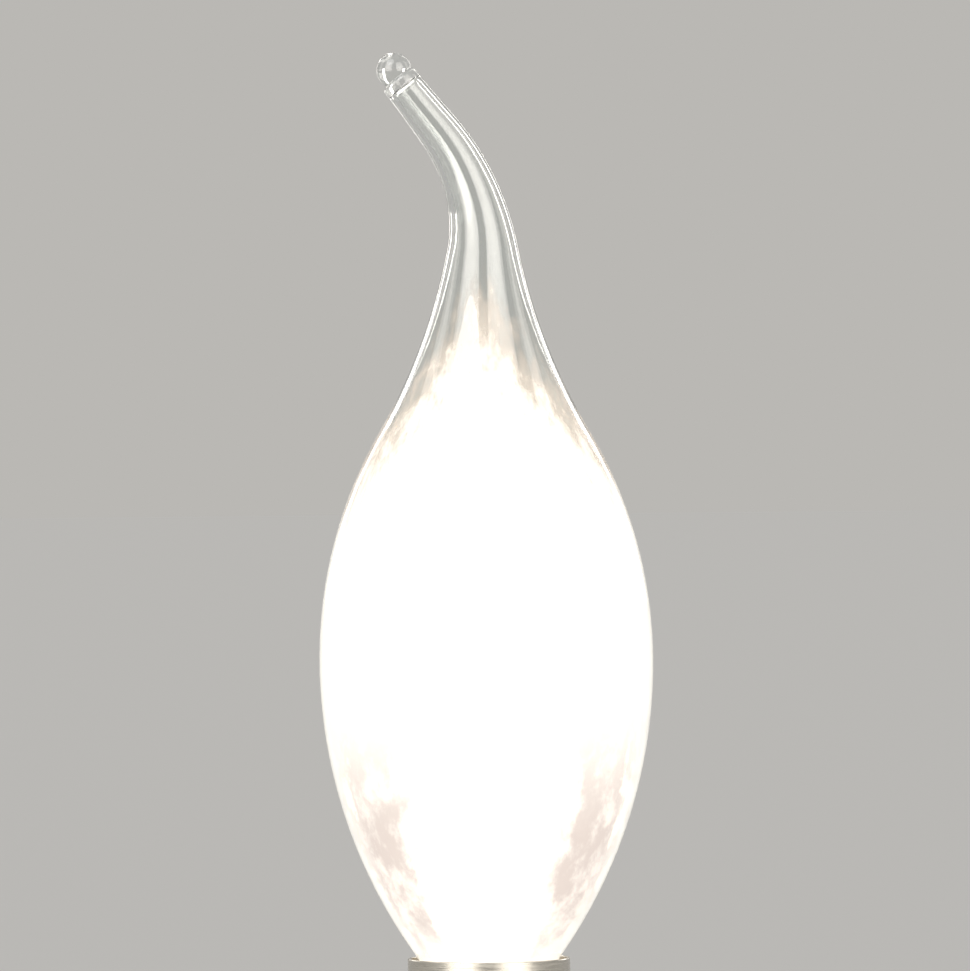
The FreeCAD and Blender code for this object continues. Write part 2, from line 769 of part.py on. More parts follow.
def fusible_resistor():
    body = new_body("fusible_resistor")
    middle = "(resistor_radius - resistor_waist)"
    low = "resistor_lead"
    high = "(resistor_lead + resistor_length)"
    points = [
        ("0", "0"),
        ("resistor_wire_radius", "0"),
        ("resistor_wire_radius", low),
        ("resistor_radius", low),
        ("resistor_radius", f"{low} + resistor_end"),
        (middle, f"{low} + resistor_end + resistor_waist"),
        (middle, f"{high} - resistor_end - resistor_waist"),
        ("resistor_radius", f"{high} - resistor_end"),
        ("resistor_radius", high),
        ("resistor_wire_radius", high),
        ("resistor_wire_radius", f"{high} + resistor_lead"),
        ("0", f"{high} + resistor_lead"),
    ]
    revolve(body, "section", points)
    place(body, ("resistor_side", f"-({BOARD_FACE} + resistor_radius)", f"{BOARD_FOOT} + part_margin"))


def package(label, width, height, depth, x, foot):
    """A moulded package on the board's rear face, with two legs on each side."""
    body = new_body(label)
    case = new_sketch(body, "case", "XZ_Plane")
    add_chain(case, rectangle(f"-{width} / 2", f"{width} / 2", "0", height))
    run = extrude(body, case, depth, reverse=True)
    tie(run, "TaperAngle", "-package_draft")
    legs = new_sketch(body, "legs", "XZ_Plane")
    reach = f"({width} / 2 + leg_length)"
    for middle in (f"({height} / 4)", f"({height} * 3 / 4)"):
        low, high = f"{middle} - leg_width / 2", f"{middle} + leg_width / 2"
        add_chain(legs, rectangle(f"-{reach}", reach, low, high))
    extrude(body, legs, "leg_depth", reverse=True)
    place(body, (x, BOARD_FACE, foot))


# Wires from the board to the cap, the cement and the solder


def shell_lead():
    """From the board's rear face, below the neck and up inside the skirt, hooked over the rim."""
    start_x = f"({BOARD_FACE} + shell_wire_radius)"
    skirt_x = f"({SKIRT_INSIDE} - shell_wire_gap - shell_wire_radius)"
    outer_x = "(skirt_radius + seat_clearance + shell_wire_radius)"
    knee = f"({NECK_FOOT} + shell_wire_rise)"
    low = f"({knee} - ({skirt_x} - {start_x}) / tan(jog_angle))"
    points = [
        (start_x, f"{low} - shell_wire_foot"),
        (start_x, low),
        (skirt_x, knee),
        (skirt_x, f"{RIM} + shell_wire_radius"),
        (outer_x, f"{RIM} + shell_wire_radius"),
        (outer_x, f"{RIM} - hook_drop"),
    ]
    body = wire_through("shell_lead", points, "shell_wire_radius")
    place(body, angle="90")
    return body


def contact_lead():
    top = f"({BOARD_FOOT} + notch_depth)"
    nodes.append(cylinder("contact_lead", "outer_wire_radius", PIN_TOP, top))
    bore = "(outer_wire_radius + seat_clearance)"
    high = f"({PIN_TOP} + sleeve_length)"
    sleeve = cylinder("sleeve_outside", f"{bore} + sleeve_wall", PIN_TOP, high)
    core = cylinder("sleeve_bore", bore, PIN_TOP, high)
    nodes.append(cut_away("insulating_sleeve", sleeve, core))


def basing_cement(envelope, wire):
    """The ring of cement between neck and skirt, moulded round the wire that runs through it."""
    top = f"({RIM} - cement_gap)"
    foot = f"({top} - cement_depth)"
    ring = cylinder("cement_outside", SKIRT_INSIDE, foot, top)
    neck = cylinder("cement_neck", "neck_radius - seat_clearance", foot, top)
    nodes.append(cut_away("basing_cement", ring, neck, envelope, wire))


def shell_solder(wire):
    """The spot of solder on the rim's outside, over the hooked wire."""
    spot = doc.addObject("Part::Cone", "solder_spot")
    tie(spot, "Radius1", "solder_radius")
    tie(spot, "Radius2", "solder_face_radius")
    tie(spot, "Height", "solder_sink + solder_height")
    spot.Placement = FreeCAD.Placement(FreeCAD.Vector(), FreeCAD.Rotation(FreeCAD.Vector(1, 0, 0), -90))
    tie(spot, "Placement.Base.y", "skirt_radius - solder_sink")
    tie(spot, "Placement.Base.z", f"{RIM} - solder_drop")
    skirt = cylinder("solder_skirt", "skirt_radius", f"({RIM} - skirt_length)", f"({RIM} + skirt_length)")
    nodes.append(cut_away("shell_solder", spot, skirt, wire))


envelope = glass_envelope()
cap_shell()
cap_insulator()
centre_contact()
stem_flare()
exhaust_tube()
support_rod()
straight_leads()
for side, angle in (("right", "0"), ("left", "180")):
    inner_lead(side, angle)
    lower_link(side, angle)
upper_link("upper_link_long", UPPER_LINK, "0")
upper_link("upper_link_cross", CROSS_LINK, "90")
for number in range(FILAMENTS):
    filament(number + 1, f"(360 * {number} / {FILAMENTS})")
driver_board()
smoothing_capacitor()
fusible_resistor()
rectifier_foot = f"({BOARD_FOOT} + part_margin)"
chip_foot = f"({rectifier_foot} + rectifier_height + part_margin)"
package("bridge_rectifier", "rectifier_width", "rectifier_height", "rectifier_depth", "0", rectifier_foot)
package("driver_chip", "chip_width", "chip_height", "chip_depth", "-chip_side", chip_foot)
wire = shell_lead()
contact_lead()
basing_cement(envelope, wire)
shell_solder(wire)
doc.recompute()

for thing in doc.Objects:
    if "Invalid" in thing.State or "Error" in thing.State:
        raise RuntimeError(f"{thing.Name} failed to build")
for feature in cuts:
    if feature.Shape.Volume > feature.BaseFeature.Shape.Volume - 1e-4:
        raise RuntimeError(f"{feature.Name} cuts nothing")
os.makedirs("parts", exist_ok=True)
for node in nodes:
    shape = node.Shape
    if shape.isNull() or not shape.isValid() or len(shape.Solids) != 1:
        raise RuntimeError(f"{node.Label} isn't one sound solid")
    shape.exportStep(f"parts/{node.Label}.step")
print(len(nodes), "sub-parts")
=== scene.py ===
import math

import bpy
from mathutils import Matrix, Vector


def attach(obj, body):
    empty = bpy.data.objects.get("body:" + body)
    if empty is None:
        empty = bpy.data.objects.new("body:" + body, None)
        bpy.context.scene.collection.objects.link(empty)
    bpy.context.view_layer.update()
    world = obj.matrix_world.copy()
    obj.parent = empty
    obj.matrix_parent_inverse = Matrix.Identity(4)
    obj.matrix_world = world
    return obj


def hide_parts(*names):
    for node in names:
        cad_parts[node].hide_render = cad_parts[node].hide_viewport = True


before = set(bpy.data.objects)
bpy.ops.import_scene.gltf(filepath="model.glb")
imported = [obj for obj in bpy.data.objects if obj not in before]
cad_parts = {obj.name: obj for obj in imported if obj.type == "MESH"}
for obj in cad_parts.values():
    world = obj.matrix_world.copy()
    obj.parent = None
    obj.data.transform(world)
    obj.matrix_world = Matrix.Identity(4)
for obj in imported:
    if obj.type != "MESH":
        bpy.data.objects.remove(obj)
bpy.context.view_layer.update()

# Lit candle lamp with a satin body, a clear bent tip and a small screw cap.
# Sizes are in millimetres, as on the drawing of the lamp, and MM turns them into metres.
MM = 0.001

# The blown glass
NECK_FOOT = 19.2
NECK_RING = NECK_FOOT + 2
NECK_TOP = 23.14
WIDEST = 56.2
TIP_ROOT = 98.6
BODY_RADIUS = 17.5
NECK_RADIUS = 7.0
NECK_ROUND = 4.0
ROOT_RADIUS = 3.9
UPPER_FLANK = 47.5
WAIST = 61.0
WALL = 0.65
SATIN_OUTER = 0.05
SATIN_INNER = 0.02
BEND_RADIUS = 21.5
BEND_ANGLE = 38.0
TIP_STRAIGHT = 6.4
TIP_TUBE = 1.7
BORE_END = 0.5
BORE_DOME = 0.3
SHOULDER = 0.5
BEAD_RADIUS = 1.85
BEAD_RISE = 1.3
BEAD_SIDE = 0.23

# The cap's shell, its lip below the thread and its skirt above
PITCH = 2.822
CREST = 6.945
ROOT = 6.145
SHELL = 0.3
LIP = 4.7
LIP_HOLE = 4.8
LIP_ROUND = 0.8
LIP_BEVEL = 1.2
LIP_RUN = 0.45
THREAD_FOOT = LIP + 1.3
SKIRT = 8.5
SKIRT_FOOT = 18.7
THREAD_TOP = SKIRT_FOOT - 2.3
FLARE_RUN = 0.5
FLARE_FOOT = SKIRT_FOOT - 1.5
FLARE_RADIUS = ROOT + 0.1
FLARE_ROUND = 0.7
RIM = 25.0
RIM_EDGE = 0.08

# The solder spot, and the wire bent over the rim
SOLDER_DROP = 1.0
WIRE = 0.2
WIRE_START = 0.6
WIRE_TAIL = 0.5
WIRE_KNEE = 19.58
WIRE_ROUND = 0.4
WIRE_GAP_INSIDE = 0.1
WIRE_GAP_OUTSIDE = 0.05
WIRE_END = 0.02
JOG_ANGLE = 45.0
HOOK_DROP = 1.1

# Steps round a piece and along the thread's wave, and the angle below which edges look soft
ROUND_STEPS = 96
SOLDER_STEPS = 48
WIRE_STEPS = 16
WAVE_STEPS = 14
THREAD_TURNS = 7
SOFT_ANGLE = 35

# How near points have to lie to be taken as one
WELD_ENDS = 0.004
WELD_TURNS = 0.002
WELD_SEAM = 0.01
CUT_NEAR = 0.0005
RING_NEAR = 0.02


# Modelling


def ring_start(name, ring, segments):
    """A circle to draw a piece from. A ring is its radius, its centre's place across and up, and
    its lean towards -X."""
    radius, across, height, lean = ring
    turn = (0, -math.radians(lean), 0)
    place = (across * MM, 0, height * MM)
    bpy.ops.mesh.primitive_circle_add(
        vertices=segments, radius=radius * MM, location=place, rotation=turn
    )
    piece = bpy.context.object
    piece.name = piece.data.name = name
    bpy.ops.object.transform_apply(location=True, rotation=True, scale=True)
    bpy.ops.object.mode_set(mode="EDIT")
    bpy.ops.mesh.select_all(action="SELECT")
    return piece


def draw_on(last, rings):
    """Extrudes the chosen ring to each of the rings in turn."""
    for ring in rings:
        centre = (last[1] * MM, 0, last[2] * MM)
        size = ring[0] / last[0]
        step = ((ring[1] - last[1]) * MM, 0, (ring[2] - last[2]) * MM)
        bpy.ops.mesh.extrude_region_move()
        bpy.ops.transform.resize(value=(size, size, size), center_override=centre)
        if ring[3] != last[3]:
            turn = math.radians(ring[3] - last[3])
            bpy.ops.transform.rotate(value=turn, orient_axis="Y", center_override=centre)
        bpy.ops.transform.translate(value=step)
        last = ring


def face_out():
    """Turns the faces outwards, and shades the piece smooth over its soft edges."""
    bpy.ops.mesh.select_all(action="SELECT")
    bpy.ops.mesh.normals_make_consistent(inside=False)
    bpy.ops.object.mode_set(mode="OBJECT")
    bpy.ops.object.shade_smooth_by_angle(angle=math.radians(SOFT_ANGLE))


def close_ends():
    """Welds or fills the first and the last ring of the piece just drawn."""
    bpy.ops.mesh.select_all(action="SELECT")
    bpy.ops.mesh.remove_doubles(threshold=WELD_ENDS * MM)
    bpy.ops.mesh.select_all(action="DESELECT")
    bpy.ops.mesh.select_non_manifold()
    bpy.ops.mesh.edge_face_add()
    face_out()


def drawn(name, rings, segments=ROUND_STEPS):
    """A closed piece drawn from ring to ring, its first and last ring small."""
    piece = ring_start(name, rings[0], segments)
    draw_on(rings[0], rings[1:])
    close_ends()
    return piece


def upright(outline):
    """Level rings round the lamp's axis, for an outline given as radius and height."""
    return [(radius, 0, height, 0) for radius, height in outline]


def turn_over(axis, angle, rise=0):
    """Turns the piece just drawn round an axis through the lamp's foot, and lifts it."""
    bpy.ops.object.mode_set(mode="EDIT")
    bpy.ops.mesh.select_all(action="SELECT")
    bpy.ops.transform.rotate(
        value=math.radians(angle), orient_axis=axis, center_override=(0, 0, 0)
    )
    bpy.ops.transform.translate(value=(0, 0, rise * MM))
    bpy.ops.object.mode_set(mode="OBJECT")


def rounded(corners, radius, steps=5):
    """The corners of an outline with each one but the ends rounded off."""
    # A little over 2, so that the cuts at the two ends of a side never meet
    parts = 2.1
    points = [corners[0]]
    for before, corner, after in zip(corners, corners[1:], corners[2:]):
        middle = Vector(corner)
        back, on = Vector(before) - middle, Vector(after) - middle
        cut = min(radius, back.length / parts, on.length / parts)
        start, end = middle + back.normalized() * cut, middle + on.normalized() * cut
        for step in range(steps + 1):
            t = step / steps
            points.append(tuple(start * (1 - t) ** 2 + middle * 2 * t * (1 - t) + end * t**2))
    return points + [corners[-1]]


def arc(centre, radius, first, last, steps):
    """Points on an arc between two angles in degrees, its first end left out."""
    angles = [math.radians(first + (last - first) * step / steps) for step in range(1, steps + 1)]
    return [(centre[0] + radius * math.cos(a), centre[1] + radius * math.sin(a)) for a in angles]


# The blown glass


def waist_middle():
    """Radius and height of the middle of the waist's hollow arc."""
    inset, rise = ROOT_RADIUS + UPPER_FLANK - BODY_RADIUS, TIP_ROOT - WIDEST
    span = math.hypot(inset, rise)
    reach = UPPER_FLANK + WAIST
    along = (reach**2 - WAIST**2 + span**2) / (2 * span)
    aside = math.sqrt(reach**2 - along**2)
    across = BODY_RADIUS - UPPER_FLANK + (along * inset + aside * rise) / span
    return across, WIDEST + (along * rise - aside * inset) / span


def body_outline(wall):
    """Radius and height from the neck's foot to the tip's root, wall inside the outer face."""
    overhang, rise = BODY_RADIUS - NECK_RADIUS - NECK_ROUND, WIDEST - NECK_TOP
    lower_flank = (overhang**2 + rise**2 - NECK_ROUND**2) / (2 * (NECK_ROUND + overhang))
    low = math.degrees(math.asin(rise / (lower_flank + NECK_ROUND)))
    middle = waist_middle()
    high = math.degrees(math.asin((middle[1] - WIDEST) / (UPPER_FLANK + WAIST)))
    root = math.degrees(math.asin((middle[1] - TIP_ROOT) / (WAIST + wall)))
    radius = NECK_RADIUS - wall
    foot = [(radius, NECK_FOOT), (radius, NECK_RING), (radius, NECK_TOP)]
    neck = (NECK_RADIUS + NECK_ROUND, NECK_TOP)
    neck = arc(neck, NECK_ROUND + wall, 180, 180 - low, steps=4)
    lower = (BODY_RADIUS - lower_flank, WIDEST)
    lower = arc(lower, lower_flank - wall, -low, 0, steps=24)
    upper = arc((BODY_RADIUS - UPPER_FLANK, WIDEST), UPPER_FLANK - wall, 0, high, steps=16)
    waist = arc(middle, WAIST + wall, 180 + high, 180 + root, steps=16)
    return foot + neck + lower + upper + waist


def tip_rings(wall, length, steps):
    """The rings of the drawn tip, which narrows towards a plain tube as it bends over."""
    root = body_outline(wall)[-1][0]
    drop = waist_middle()[1] - TIP_ROOT
    slope = drop / math.sqrt((WAIST + wall) ** 2 - drop**2)
    tube = TIP_TUBE - wall
    bend = BEND_RADIUS * math.radians(BEND_ANGLE)
    rings = []
    for step in range(1, steps + 1):
        run = length * step / steps
        lean = min(run / BEND_RADIUS, math.radians(BEND_ANGLE))
        past = max(run - bend, 0)
        across = -BEND_RADIUS * (1 - math.cos(lean)) - past * math.sin(lean)
        height = TIP_ROOT + BEND_RADIUS * math.sin(lean) + past * math.cos(lean)
        radius = tube + (root - tube) * math.exp(-run * slope / (root - tube))
        rings.append((radius, across, height, math.degrees(lean)))
    return rings


def beyond(ring, offsets):
    """Rings past the end of the tip: each offset is a radius, a rise and a shift to the side."""
    lean = math.radians(ring[3])
    out, up = Vector((math.cos(lean), math.sin(lean))), Vector((-math.sin(lean), math.cos(lean)))
    rings = []
    for radius, rise, side in offsets:
        place = Vector(ring[1:3]) + up * rise + out * side
        rings.append((radius, place.x, place.y, ring[3]))
    return rings


def draw_bore(length):
    """The rings of the inner face, from the neck's foot to the rounded end of the bore."""
    bore = tip_rings(WALL, length - BORE_END - BORE_DOME, steps=34)
    end = bore[-1][0]
    turns = [math.radians(angle) for angle in (12, 24, 36, 48, 60, 72, 82, 89.5)]
    dome = [(end * math.cos(turn), BORE_DOME * math.sin(turn), 0) for turn in turns]
    return upright(body_outline(WALL)) + bore + beyond(bore[-1], dome)


def draw_outside(length):
    """The rings of the outer face, from the neck's foot over the sealed bead to its top."""
    tip = tip_rings(0, length, steps=40)
    end = tip[-1][0]
    shoulder = [(end - 0.02, 0.12, 0), (end - 0.09, 0.25, 0.02), (end - 0.2, 0.36, 0.05)]
    crease = [(end - 0.3, 0.44, 0.1), (end - 0.33, SHOULDER, 0.14)]
    levels = [-0.62, -0.45, -0.2, 0.1, 0.4, 0.7, 0.95, 1.15, 1.32, 1.47, 1.6, 1.7, 1.77, 1.82, 1.8485]
    bead = [(math.sqrt(BEAD_RADIUS**2 - z**2), BEAD_RISE + z, BEAD_SIDE) for z in levels]
    return upright(body_outline(0)) + tip + beyond(tip[-1], shoulder + crease + bead)


def make_envelope():
    """One blown wall with its bore, the drawn tip and the sealed bead at its end."""
    length = BEND_RADIUS * math.radians(BEND_ANGLE) + TIP_STRAIGHT
    return drawn("envelope", draw_bore(length)[::-1] + draw_outside(length))


def make_satin():
    """The satin layer fused to the inner face, which thins out below the tip."""
    outer = upright(body_outline(WALL - SATIN_OUTER))
    inner = upright(body_outline(WALL - SATIN_INNER))
    piece = ring_start("satin_layer", outer[0], ROUND_STEPS)
    draw_on(outer[0], outer[1:] + inner[::-1])
    bpy.ops.mesh.select_all(action="DESELECT")
    bpy.ops.mesh.select_non_manifold()
    bpy.ops.mesh.bridge_edge_loops()
    face_out()
    return piece


# The cap


def pick_ring(piece, height):
    """Chooses the open edge at the height."""
    bpy.ops.mesh.select_all(action="DESELECT")
    bpy.ops.mesh.select_mode(type="EDGE")
    bpy.ops.mesh.select_non_manifold()
    bpy.ops.object.mode_set(mode="OBJECT")
    mesh = piece.data
    for edge in mesh.edges:
        heights = [mesh.vertices[v].co.z for v in edge.vertices]
        if max(abs(z - height * MM) for z in heights) > RING_NEAR * MM:
            edge.select = False
    for vertex in mesh.vertices:
        vertex.select = False
    for edge in mesh.edges:
        if edge.select:
            for v in edge.vertices:
                mesh.vertices[v].select = True
    bpy.ops.object.mode_set(mode="EDIT")


def round_off(piece, height, radius):
    """Makes the chosen ring round, with the given radius."""
    bpy.ops.transform.tosphere(value=1.0, center_override=(0, 0, height * MM))
    bpy.ops.object.mode_set(mode="OBJECT")
    chosen = [v.co for v in piece.data.vertices if v.select]
    mean = sum(math.hypot(co.x, co.y) for co in chosen) / len(chosen)
    bpy.ops.object.mode_set(mode="EDIT")
    size = radius * MM / mean
    bpy.ops.transform.resize(value=(size, size, 1), center_override=(0, 0, height * MM))


def roll_thread():
    """The thread: one wave of the sheet, screwed upwards."""
    bpy.ops.mesh.primitive_circle_add(vertices=3, radius=MM, location=(0, 0, 0))
    piece = bpy.context.object
    piece.name = piece.data.name = "threaded_shell"
    bpy.ops.object.mode_set(mode="EDIT")
    bpy.ops.mesh.select_all(action="SELECT")
    bpy.ops.mesh.merge(type="CENTER")
    middle, depth = (CREST + ROOT) / 2, (CREST - ROOT) / 2
    # It starts below the lip, so that the turn that is cut level is whole
    foot = LIP - PITCH * 1.5
    bpy.ops.transform.translate(value=((middle - depth) * MM, 0, foot * MM))
    turns = [math.tau * step / WAVE_STEPS for step in range(WAVE_STEPS + 1)]
    wave = [middle - depth * math.cos(turn) for turn in turns]
    for before, after in zip(wave, wave[1:]):
        step = ((after - before) * MM, 0, PITCH / WAVE_STEPS * MM)
        bpy.ops.mesh.extrude_vertices_move(TRANSFORM_OT_translate={"value": step})
    bpy.ops.object.mode_set(mode="OBJECT")
    screw = piece.modifiers.new("thread", "SCREW")
    screw.axis = "Z"
    screw.angle = math.tau
    screw.screw_offset = PITCH * MM
    screw.iterations = THREAD_TURNS
    screw.steps = screw.render_steps = ROUND_STEPS
    screw.use_merge_vertices = True
    screw.merge_threshold = WELD_TURNS * MM
    bpy.ops.object.modifier_apply(modifier="thread")
    return piece


def trim_thread():
    """Cuts the thread off level at both ends."""
    bpy.ops.object.mode_set(mode="EDIT")
    bpy.ops.mesh.select_all(action="SELECT")
    bpy.ops.mesh.remove_doubles(threshold=WELD_SEAM * MM)
    for height, keep_above in ((THREAD_FOOT, True), (THREAD_TOP, False)):
        bpy.ops.mesh.select_all(action="SELECT")
        bpy.ops.mesh.bisect(
            plane_co=(0, 0, height * MM),
            plane_no=(0, 0, 1),
            clear_inner=keep_above,
            clear_outer=not keep_above,
            threshold=CUT_NEAR * MM,
        )


def draw_lip(piece):
    """Draws the thread's lower end out smooth, and in to the lip's edge."""
    foot = THREAD_FOOT - LIP_RUN
    pick_ring(piece, THREAD_FOOT)
    bpy.ops.mesh.extrude_region_move(TRANSFORM_OT_translate={"value": (0, 0, -LIP_RUN * MM)})
    round_off(piece, foot, ROOT)
    corners = [(ROOT, foot), (ROOT, LIP), (LIP_HOLE, LIP), (LIP_HOLE, LIP + SHELL)]
    draw_on((ROOT, 0, foot, 0), upright(rounded(corners, LIP_ROUND)[1:]))


def draw_skirt(piece):
    """Draws the thread's upper end out to the skirt and its rim, and back down inside to the lip."""
    foot = THREAD_TOP + FLARE_RUN
    pick_ring(piece, THREAD_TOP)
    bpy.ops.mesh.extrude_region_move(TRANSFORM_OT_translate={"value": (0, 0, FLARE_RUN * MM)})
    round_off(piece, foot, FLARE_RADIUS)
    corners = [
        (FLARE_RADIUS, foot),
        (FLARE_RADIUS, FLARE_FOOT),
        (SKIRT, SKIRT_FOOT + 0.1),
        (SKIRT, RIM - SHELL),
    ]
    rim = [
        (SKIRT, RIM - RIM_EDGE),
        (SKIRT - RIM_EDGE, RIM),
        (SKIRT - SHELL + RIM_EDGE, RIM),
        (SKIRT - SHELL, RIM - RIM_EDGE),
    ]
    inner = [
        (SKIRT - SHELL, SKIRT_FOOT + 0.2),
        (ROOT - SHELL, FLARE_FOOT),
        (ROOT - SHELL, LIP + LIP_BEVEL),
        (ROOT - LIP_BEVEL, LIP + SHELL),
        (LIP_HOLE, LIP + SHELL),
    ]
    path = rounded(corners, FLARE_ROUND)[1:] + rim + inner
    draw_on((FLARE_RADIUS, 0, foot, 0), upright(path))


def make_cap():
    """The rolled shell: its thread, then the lip and the skirt drawn on, with the inner face."""
    piece = roll_thread()
    trim_thread()
    draw_lip(piece)
    draw_skirt(piece)
    close_ends()
    return piece


def make_solder():
    """A rounded spot of solder over the wire's end, flowed out thin at its edge."""
    outline = [(0.03, 8.3), (0.92, 8.3), (0.92, 8.46), (0.9, 8.54), (0.85, 8.66), (0.77, 8.78)]
    outline += [(0.67, 8.88), (0.54, 8.97), (0.39, 9.04), (0.22, 9.085), (0.03, 9.1)]
    piece = drawn("solder_spot", upright(outline), SOLDER_STEPS)
    turn_over("X", 90, RIM - SOLDER_DROP)
    return piece


def make_hooked_wire():
    """The wire from the board, up inside the skirt and bent over its rim."""
    inside, outside = SKIRT - SHELL - WIRE_GAP_INSIDE - WIRE, SKIRT + WIRE_GAP_OUTSIDE + WIRE
    low = WIRE_KNEE - (inside - WIRE_START) / math.tan(math.radians(JOG_ANGLE))
    corners = [(WIRE_START, low - WIRE_TAIL), (WIRE_START, low), (inside, WIRE_KNEE)]
    corners += [(inside, RIM + WIRE), (outside, RIM + WIRE), (outside, RIM - HOOK_DROP)]
    path = rounded(corners, WIRE_ROUND, steps=4)
    rings = []
    for index, (across, height) in enumerate(path):
        before, after = path[max(index - 1, 0)], path[min(index + 1, len(path) - 1)]
        lean = -math.degrees(math.atan2(after[0] - before[0], after[1] - before[1]))
        rings.append((WIRE, across, height, lean))
    first, last = rings[0], rings[-1]
    rings = [(WIRE_END, *first[1:])] + rings + [(WIRE_END, *last[1:])]
    piece = drawn("hooked_wire", rings, WIRE_STEPS)
    turn_over("Z", -90)
    return piece


# Materials

# Soft ends for a range, and the values between which most of a noise lies
SOFT = {"interpolation_type": "SMOOTHSTEP"}
MOST = {1: 0.3, 2: 0.7}

# Ranges of the satin layer, from 1 to 2, with the values 3 and 4 at their ends.
# The shade ranges place painted shade that dims the glow at the sides below the widest point,
# and the wisps' range places a painted glow at the top.
# The first two go by how far a place is to the side, the streaks by the noise, the others by height.
SHADE_SIDES = {1: 0.72, 2: 0.92}
SHADE_EDGE = {1: 1.16, 2: 1.24, 3: 1.0, 4: 0.0}
SHADE_TOP = {1: 46 * MM, 2: 66 * MM, 3: 1.0, 4: 0.0}
SHADE_FOOT = {1: 31 * MM, 2: 40 * MM, 3: 0.25, 4: 1.0}
SHADE_STREAKS = {1: 0.36, 2: 0.6, 3: 0.35, 4: 1.0}
GLOW_WISPS_START = {1: 93 * MM, 2: 106 * MM}
LAYER_END = {1: 98 * MM, 2: 113 * MM, 3: 1.0, 4: 0.0}

# How far the noises shift those ranges, and how much earlier the painted glow's wisps start
# at the sides, leaving a painted bright column in the middle
PATCH_SWAY = 0.5
PATCH_REACH = 14 * MM
GLOW_WISP_REACH = 26 * MM
GRAIN_REACH = 5 * MM
GLOW_COLUMN_REACH = 13 * MM


def paint(code):
    """A hex sRGB colour as the linear values that Blender works in."""
    parts = [int(code[i : i + 2], 16) / 255 for i in (1, 3, 5)]
    return [c / 12.92 if c <= 0.04045 else ((c + 0.055) / 1.055) ** 2.4 for c in parts] + [1.0]


def add(tree, kind, sockets=None, output=0, **settings):
    """Adds a node and returns one of its outputs: sockets gives each input a value or the output
    that feeds it."""
    made = tree.nodes.new(kind)
    for name, setting in settings.items():
        setattr(made, name, setting)
    for key, source in (sockets or {}).items():
        if isinstance(source, bpy.types.NodeSocket):
            tree.links.new(source, made.inputs[key])
        else:
            made.inputs[key].default_value = source
    return made.outputs[output]


def finish(name, **sockets):
    """A material whose shader's own sockets have the plain values."""
    made = bpy.data.materials.new(name)
    made.use_nodes = True
    shader = made.node_tree.nodes["Principled BSDF"]
    for key, source in sockets.items():
        shader.inputs[key.replace("_", " ")].default_value = source
    return made, made.node_tree, shader


def wear(target, objects):
    """Gives the material to CAD nodes or pieces, by their names."""
    for name in objects:
        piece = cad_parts.get(name) or bpy.data.objects[name]
        piece.data.materials.clear()
        piece.data.materials.append(target)


def make_glass():
    """Soda-lime glass, blown and drawn: clear, with faint long draw lines that bend reflections."""
    made, tree, shader = finish(
        "drawn_soda_lime_glass",
        Base_Color=paint("#f4f6f5"),
        Transmission_Weight=1.0,
        Roughness=0.015,
        IOR=1.52,
    )
    place = add(tree, "ShaderNodeTexCoord", output="Object")
    # Draw lines lie about 1.5 mm apart round the tip and run on for 30 mm
    spread = add(tree, "ShaderNodeMapping", {"Vector": place, "Scale": (650, 650, 35)})
    lines = add(tree, "ShaderNodeTexNoise", {"Vector": spread, "Scale": 1.0, "Detail": 2.0})
    bump = add(tree, "ShaderNodeBump", {"Height": lines, "Strength": 0.12, "Distance": 0.05 * MM})
    tree.links.new(bump, shader.inputs["Normal"])
    return made


